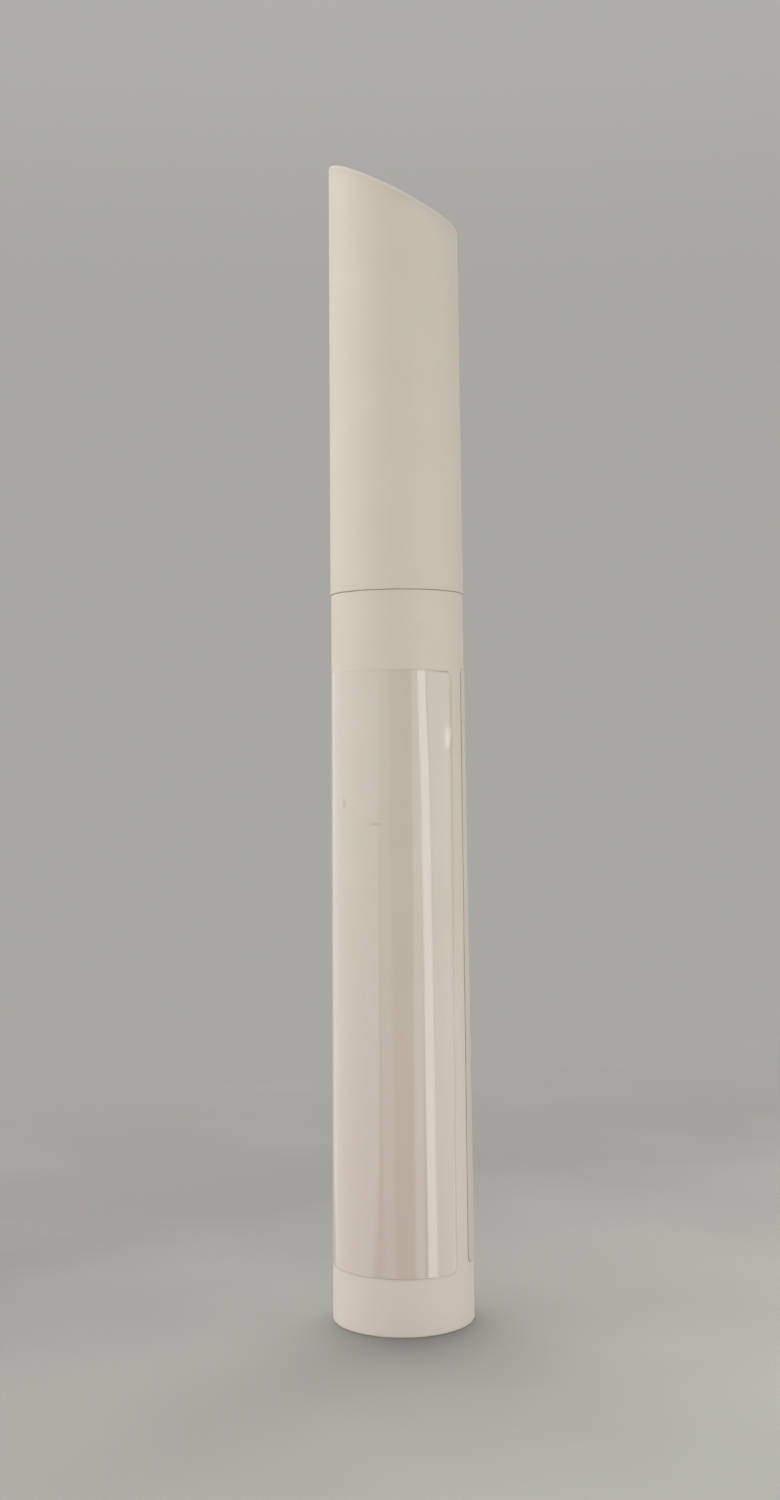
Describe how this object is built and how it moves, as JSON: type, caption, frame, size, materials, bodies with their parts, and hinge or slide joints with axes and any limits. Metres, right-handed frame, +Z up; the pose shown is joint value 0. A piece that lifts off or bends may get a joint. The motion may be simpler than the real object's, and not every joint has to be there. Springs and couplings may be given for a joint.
{
  "type": "nail oil pen",
  "caption": "Slim upright nail oil pen with a slanted pull-off cap, a wrap label on the barrel and a felt tip that opens a sprung valve when pressed.",
  "frame": {"origin": "middle of the foot that the pen stands on, at the level of the surface", "axes": "+Z up the pen to the felt tip and the cap's top; the slanted top is high at -X and low at +X; the label's bare strip faces between +X and -Y"},
  "size_m": [0.0144, 0.0144, 0.12],
  "materials": {
    "barrel_plastic": "satin moulded off-white",
    "cap_plastic": "satin moulded off-white",
    "label_film": "glossy self-adhesive film, bare",
    "section_plastic": "smooth moulded white",
    "liner_plastic": "natural moulded plastic",
    "valve_plastic": "natural moulded plastic",
    "seat_rubber": "soft moulded seal",
    "spring_steel": "drawn stainless wire",
    "felt": "bonded fibre felt, damp with oil"
  },
  "bodies": {
    "barrel": {"barrel": "barrel_plastic", "label": "label_film", "front_section": "section_plastic", "valve_seat": "seat_rubber", "valve_housing": "valve_plastic", "spring_cap": "valve_plastic", "valve_spring": "spring_steel"},
    "applicator": {"nib": "felt", "valve_stem": "valve_plastic"},
    "cap": {"cap_shell": "cap_plastic", "inner_cap": "liner_plastic"}
  },
  "joints": [
    {"name": "cap_pull", "type": "slide", "parent": "barrel", "child": "cap", "axis": [0, 0, 1], "range_m": [0, 0.05]},
    {"name": "tip_press", "type": "slide", "parent": "barrel", "child": "applicator", "axis": [0, 0, -1], "range_m": [0, 0.0015], "stiffness_N_per_m": 600, "springref_m": -0.002, "deforming": ["valve_spring"]}
  ]
}
